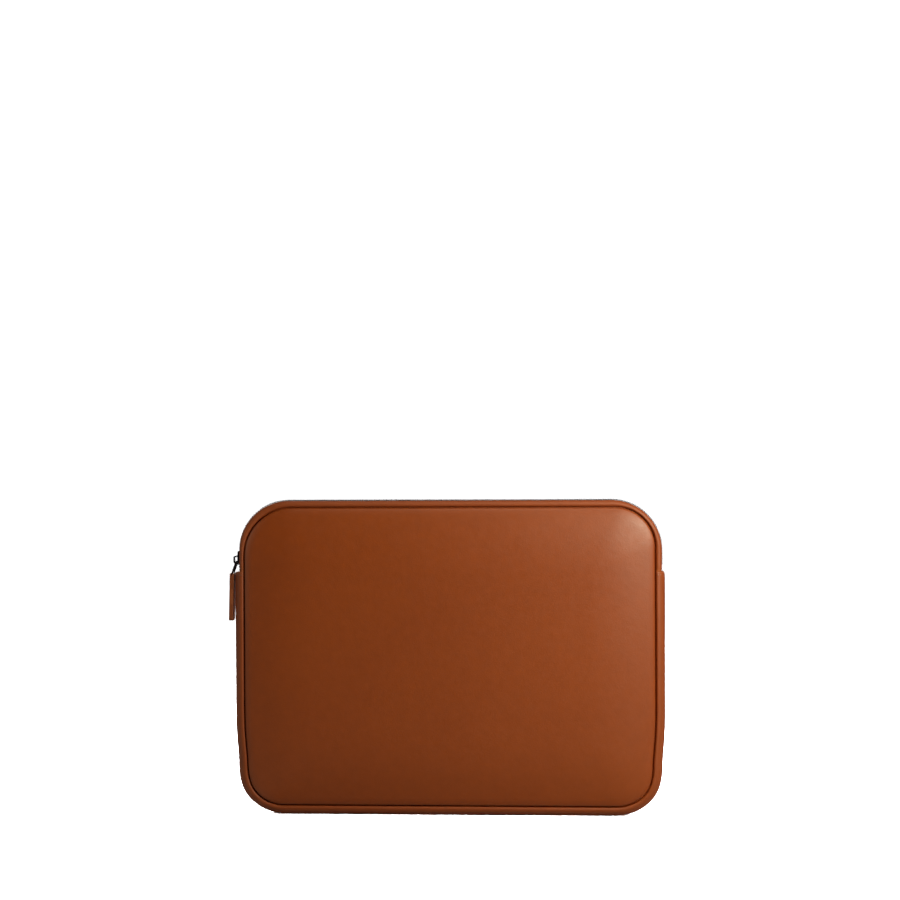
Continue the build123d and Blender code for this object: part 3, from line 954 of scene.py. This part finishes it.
def make_slider():
    """Two shaped plates joined by a wedge, with the open hook on the outer one."""
    low, high = cad_box_mm("slider_body")
    z0, z1 = low.z, high.z
    half = high.y
    out_top = ZIP_LEFT - low.x
    plan = rounded_outline([
        (-half, z0 + 0.6), (-half + 1.2, z0), (-0.9, z0 + 0.5), (0.9, z0 + 0.5), (half - 1.2, z0),
        (half, z0 + 0.6), (half, SLIDER_Z), (half - 1.1, z1), (-half + 1.1, z1), (-half, SLIDER_Z),
    ], 1.1)
    parts = [prism("outer_plate", plan, 5.9, out_top, metal, 0.32)]
    parts.append(prism("inner_plate", plan, 1.35, 2.35, metal, 0.3))
    for y in (-1, 1):
        rail = [(y * half, z0 + 0.9), (y * half, SLIDER_Z), (y * (half - 1.0), z1 - 0.3),
                (y * (half - 1.7), z1 - 0.3), (y * (half - 0.7), SLIDER_Z), (y * (half - 0.7), z0 + 0.9)]
        parts.append(prism("upper_rail", rail, 4.45, 6.3, metal, 0.12, 2))
        parts.append(prism("lower_rail", rail, 2.0, 3.45, metal, 0.12, 2))
    wedge = [(0, SLIDER_Z - 1.0), (0.7, SLIDER_Z - 2.9), (0.7, SLIDER_Z - 4.2), (0, z0 + 0.2),
             (-0.7, SLIDER_Z - 4.2), (-0.7, SLIDER_Z - 2.9)]
    parts.append(prism("wedge", wedge, 2.2, 6.1, metal, 0.1, 2))
    body = join("slider_plates", parts)
    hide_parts("slider_body")
    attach(body, "slider")

    low, high = cad_box_mm("slider_hook")
    bar = 1.2
    outer_x = low.x + bar / 2
    foot_z = low.z + bar / 2
    head_z = 204.6 - bar / 2
    bend = 1.15
    path = [(high.x + 0.3, foot_z), (outer_x + bend, foot_z)]
    path += [(outer_x + bend - bend * sin(a), foot_z + bend - bend * cos(a)) for a in
             [pi / 2 * k / 6 for k in range(1, 7)]]
    path += [(outer_x, head_z - bend)]
    path += [(outer_x + bend - bend * cos(a), head_z - bend + bend * sin(a)) for a in
             [pi / 2 * k / 6 for k in range(1, 7)]]
    path += [(outer_x + bend + 0.5, head_z - 0.05), (outer_x + bend + 1.0, head_z - 0.35)]
    samples = []
    for i, (x, z) in enumerate(path):
        x0, z0 = path[max(i - 1, 0)]
        x1, z1 = path[min(i + 1, len(path) - 1)]
        length = hypot(x1 - x0, z1 - z0)
        samples.append((x, z, -(z1 - z0) / length, (x1 - x0) / length))
    half_w = high.y
    rim = 0.38
    section = []
    for cx, cy, a0 in ((1, 1, 0), (-1, 1, 90), (-1, -1, 180), (1, -1, 270)):
        for k in range(5):
            a = radians(a0 + 90 * k / 4)
            section.append((cx * (bar / 2 - rim) + rim * cos(a), cy * (half_w - rim) + rim * sin(a)))
    hook = sweep("hook_arm", samples, section, metal, 50)
    nib_low = (high.x - 0.85, -half_w, 203.45)
    nib_high = (high.x + 0.15, half_w, 205.2)
    nib = box_object("hook_nib", nib_low, nib_high, metal, 0.3)
    hook = join("hook", [hook, nib])
    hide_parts("slider_hook")
    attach(hook, "slider")


LINK_TOP = Vector((-169.0, 0, 200.2))
LINK_FOOT = Vector((-172.4, 0, 190.4))
LINK_ARM = 4.0
TAB_LEAN = 0.024
TAB_ROUND = 2.6
TAB_STITCH_PITCH = 2.5
TAB_STITCH_INSET = 1.5
TAB_MOUTH = 3.2


def tube(name, points, radius, material):
    """A closed round wire through points."""
    around = 12
    count = len(points)
    plane = (points[count // 3] - points[0]).cross(points[2 * count // 3] - points[0]).normalized()
    verts, faces = [], []
    for i in range(count):
        along = (points[(i + 1) % count] - points[i - 1]).normalized()
        side = along.cross(plane)
        for j in range(around):
            a = 2 * pi * j / around
            verts.append(tuple(points[i] + side * radius * cos(a) + plane * radius * sin(a)))
    for i in range(count):
        n = (i + 1) % count
        for j in range(around):
            k = (j + 1) % around
            faces.append((i * around + j, i * around + k, n * around + k, n * around + j))
    return new_object(name, verts, faces, material, 60)


def make_link():
    """The wire ring that joins the slider's hook to the leather pull."""
    drop = LINK_FOOT - LINK_TOP
    down = drop.normalized()
    across = Vector((0, 1, 0))
    arm = LINK_ARM
    bend = 1.1
    outline = rounded_outline([(-arm, 0), (arm, 0), (arm, drop.length), (-arm, drop.length)], bend, 8)
    points = []
    for i, (a, b) in enumerate(outline):
        points.append(LINK_TOP + across * a + down * b)
    dense = []
    for i in range(len(points)):
        p, q = points[i], points[(i + 1) % len(points)]
        steps = max(int((q - p).length / 0.6), 1)
        dense += [p.lerp(q, k / steps) for k in range(steps)]
    ring = tube("link_ring", dense, 0.66, metal)
    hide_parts("pull_link")
    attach(ring, "link")


def make_tab():
    """Two leather layers sewn together, opening in a V round the link at the top."""
    low_outer, high_outer = cad_box_mm("pull_tab_outer")
    high_inner = cad_box_mm("pull_tab_inner")[1]
    bottom = low_outer.z
    top = high_outer.z
    half = high_outer.y
    middle = (low_outer.x + high_inner.x) / 2
    thick = (high_inner.x - low_outer.x) / 2
    layers = (("pull_layer_outer", "pull_tab_outer", -1), ("pull_layer_inner", "pull_tab_inner", 1))
    for name, node, sign in layers:
        verts, faces = [], []

        def half_width(z):
            edge = min(z - bottom, top - z)
            if edge >= TAB_ROUND:
                return half
            return half - TAB_ROUND + (TAB_ROUND ** 2 - (TAB_ROUND - edge) ** 2) ** 0.5

        zs = []
        for k in range(7):
            a = pi / 2 * k / 6
            zs.append(bottom + TAB_ROUND * (1 - cos(a)))
        steps = 22
        straight = top - bottom - 2 * TAB_ROUND
        zs += [bottom + TAB_ROUND + straight * k / steps for k in range(1, steps)]
        for k in range(7):
            a = pi / 2 * k / 6
            zs.append(top - TAB_ROUND + TAB_ROUND * sin(a))
        columns = 12
        grid = {}
        for layer in (0, 1):
            for r, z in enumerate(zs):
                w = max(half_width(z), 0.4 if r in (0, len(zs) - 1) else 0.0)
                for c in range(columns + 1):
                    y = -w + 2 * w * c / columns
                    spread = smoothstep(0, TAB_MOUTH, z - (top - TAB_MOUTH))
                    inner = 0.02 + 0.85 * spread
                    outer = thick - 0.06 + 0.12 * spread
                    x = inner if layer == 0 else outer
                    tilt = (top - z) * TAB_LEAN
                    grid[layer, r, c] = len(verts)
                    verts.append((middle + sign * x - tilt, y, z))
        for r in range(len(zs) - 1):
            for c in range(columns):
                faces.append((grid[0, r, c], grid[0, r, c + 1], grid[0, r + 1, c + 1], grid[0, r + 1, c]))
                faces.append((grid[1, r, c], grid[1, r + 1, c], grid[1, r + 1, c + 1], grid[1, r, c + 1]))
        border = [(0, c) for c in range(columns)] + [(r, columns) for r in range(len(zs) - 1)]
        border += [(len(zs) - 1, c) for c in range(columns, 0, -1)]
        border += [(r, 0) for r in range(len(zs) - 1, 0, -1)]
        for i in range(len(border)):
            (r, c), (r2, c2) = border[i], border[(i + 1) % len(border)]
            faces.append((grid[0, r, c], grid[1, r, c], grid[1, r2, c2], grid[0, r2, c2]))
        sheet = new_object(name, verts, faces, tab_leather, 50)
        sheet.data.materials.append(edge_paint)
        for polygon in sheet.data.polygons:
            if abs(polygon.normal.x) < 0.5:
                polygon.material_index = 1
        bevelled = bevel(sheet, 0.28, 3, 50)
        s_verts, s_faces = [], []
        inset = TAB_STITCH_INSET
        up = Vector((sign, 0, 0))
        path = rounded_outline([(-half + inset, bottom + inset), (half - inset, bottom + inset),
                                (half - inset, top - 3.4), (-half + inset, top - 3.4)], 1.4, 6)
        loop = [Vector((0, y, z)) for y, z in path]
        total = sum((loop[(i + 1) % len(loop)] - loop[i]).length for i in range(len(loop)))
        number = int(total / TAB_STITCH_PITCH)
        for k in range(number):
            ends = []
            for d in ((k + 0.15) * total / number, (k + 0.85) * total / number):
                left = d
                for i in range(len(loop)):
                    seg = loop[(i + 1) % len(loop)] - loop[i]
                    if left <= seg.length:
                        p = loop[i] + seg.normalized() * left
                        break
                    left -= seg.length
                tilt = (top - p.z) * TAB_LEAN
                ends.append(Vector((middle + sign * (thick - 0.06) - tilt, p.y, p.z)))
            stitch(s_verts, s_faces, ends[0], ends[1], up, 0.2)
        seam = new_object(f"{name}_stitches", s_verts, s_faces, thread, 60)
        layer = join_keep(name, bevelled, seam)
        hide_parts(node)
        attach(layer, "tab")


def join_keep(name, first, second):
    """Join two objects, keeping the first one's own two materials."""
    bm = bmesh.new()
    bm.from_mesh(first.data)
    start = len(bm.faces)
    bm.from_mesh(second.data)
    bm.faces.ensure_lookup_table()
    for face in bm.faces[start:]:
        face.material_index = len(first.data.materials)
    mesh = bpy.data.meshes.new(name)
    bm.to_mesh(mesh)
    bm.free()
    for material in list(first.data.materials) + [second.data.materials[0]]:
        mesh.materials.append(material)
    for obj in (first, second):
        bpy.data.objects.remove(obj)
    joined = bpy.data.objects.new(name, mesh)
    bpy.context.scene.collection.objects.link(joined)
    return joined


# --- floor, light and camera --------------------------------------------------

def area_light(name, place, target, size, power):
    """A soft rectangular light aimed at a point."""
    light = bpy.data.lights.new(name, "AREA")
    light.shape = "RECTANGLE"
    light.size = size[0]
    light.size_y = size[1]
    light.energy = power
    obj = bpy.data.objects.new(name, light)
    obj.location = place
    obj.rotation_euler = (Vector(target) - Vector(place)).to_track_quat("-Z", "Y").to_euler()
    bpy.context.scene.collection.objects.link(obj)
    return obj


def camera_only(tree, seen, felt):
    """One value for camera rays and another for light that reaches the object."""
    path = tree.nodes.new("ShaderNodeLightPath")
    mix = tree.nodes.new("ShaderNodeMix")
    mix.data_type = "RGBA"
    tree.links.new(path.outputs["Is Camera Ray"], mix.inputs[0])
    for value, index in ((felt, 6), (seen, 7)):
        if isinstance(value, (int, float)):
            mix.inputs[index].default_value = (value, value, value, 1)
        else:
            tree.links.new(value, mix.inputs[index])
    return mix.outputs[2]


def make_floor():
    """A wide pale floor, bright enough to meet the backdrop without a line."""
    mesh = bpy.data.meshes.new("floor")
    reach = 60.0
    mesh.from_pydata([(-reach, -reach, 0), (reach, -reach, 0), (reach, reach, 0), (-reach, reach, 0)],
                     [], [(0, 1, 2, 3)])
    floor = bpy.data.objects.new("floor", mesh)
    bpy.context.scene.collection.objects.link(floor)
    material = bpy.data.materials.new("pale floor")
    material.use_nodes = True
    shader = material.node_tree.nodes["Principled BSDF"]
    shader.inputs["Roughness"].default_value = 1.0
    shader.inputs["Specular IOR Level"].default_value = 0.0
    colour = camera_only(material.node_tree, FLOOR_SEEN, FLOOR_FELT)
    material.node_tree.links.new(colour, shader.inputs["Base Color"])
    mesh.materials.append(material)


def make_backdrop():
    """White behind the sleeve for the camera; to the sleeve, bright behind and dim in front."""
    world = bpy.data.worlds.new("studio")
    world.use_nodes = True
    tree = world.node_tree
    background = tree.nodes["Background"]
    coords = tree.nodes.new("ShaderNodeTexCoord")
    split = tree.nodes.new("ShaderNodeSeparateXYZ")
    tree.links.new(coords.outputs["Generated"], split.inputs[0])
    ramp = tree.nodes.new("ShaderNodeMapRange")
    ramp.interpolation_type = "SMOOTHSTEP"
    ramp.inputs["From Min"].default_value = -0.1
    ramp.inputs["From Max"].default_value = 0.6
    ramp.inputs["To Min"].default_value = FRONT_AMBIENT
    ramp.inputs["To Max"].default_value = BACK_AMBIENT
    tree.links.new(split.outputs["Y"], ramp.inputs["Value"])
    tree.links.new(camera_only(tree, 1.1, ramp.outputs["Result"]), background.inputs["Color"])
    background.inputs["Strength"].default_value = 1.0
    bpy.context.scene.world = world


FLOOR_SEEN = 8.0
FLOOR_FELT = 0.3
FRONT_AMBIENT = 0.0
BACK_AMBIENT = 0.4
# name, place, target and size in metres, and power in watts
LIGHTS = [
    ("key", (0.37, -0.41, 0.355), (0.1, 0, 0.17), (0.2, 0.2), 2.0),
    ("side", (0.56, -0.40, 0.40), (0.1, 0, 0.17), (0.25, 0.25), 0.6),
    ("top", (0.18, -0.49, 1.11), (0, 0, 0.14), (0.5, 0.5), 2.3),
    ("fill", (-1.0, -0.36, 0.42), (0, 0, 0.14), (0.5, 0.5), 1.0),
    ("back key", (-0.45, 0.8, 0.5), (0, 0, 0.14), (0.4, 0.4), 5.0),
    ("back fill", (0.6, 0.9, 0.4), (0, 0, 0.12), (0.5, 0.5), 3.0),
]
CAMERA_DISTANCE = 1.15
CAMERA_HEIGHT = 0.288
CAMERA_SHIFT = 0.0013
VIEW_WIDTH = 0.7127
SENSOR = 36
TURN = radians(2.6)
ROLL = radians(0.25)


def make_stage():
    """The floor, the soft lights in front and behind, and the camera."""
    make_floor()
    make_backdrop()
    for name, place, target, size, power in LIGHTS:
        area_light(name, place, target, size, power)

    camera = bpy.data.cameras.new("camera")
    camera.sensor_width = SENSOR
    camera.lens = SENSOR * CAMERA_DISTANCE / VIEW_WIDTH
    eye = bpy.data.objects.new("camera", camera)
    across = CAMERA_DISTANCE * sin(TURN) + CAMERA_SHIFT
    eye.location = (across, -CAMERA_DISTANCE * cos(TURN), CAMERA_HEIGHT)
    eye.rotation_euler = (radians(90), ROLL, TURN)
    bpy.context.scene.collection.objects.link(eye)
    bpy.context.scene.camera = eye
    bpy.context.scene.view_settings.view_transform = "Standard"


for side in (FRONT, BACK):
    make_panel(side)
    make_facing(side)
    make_tape(side)
    make_teeth(side)
make_gusset()
make_gusset_stitches(-1)
make_gusset_stitches(1)
make_stops()
make_slider()
make_link()
make_tab()
make_stage()
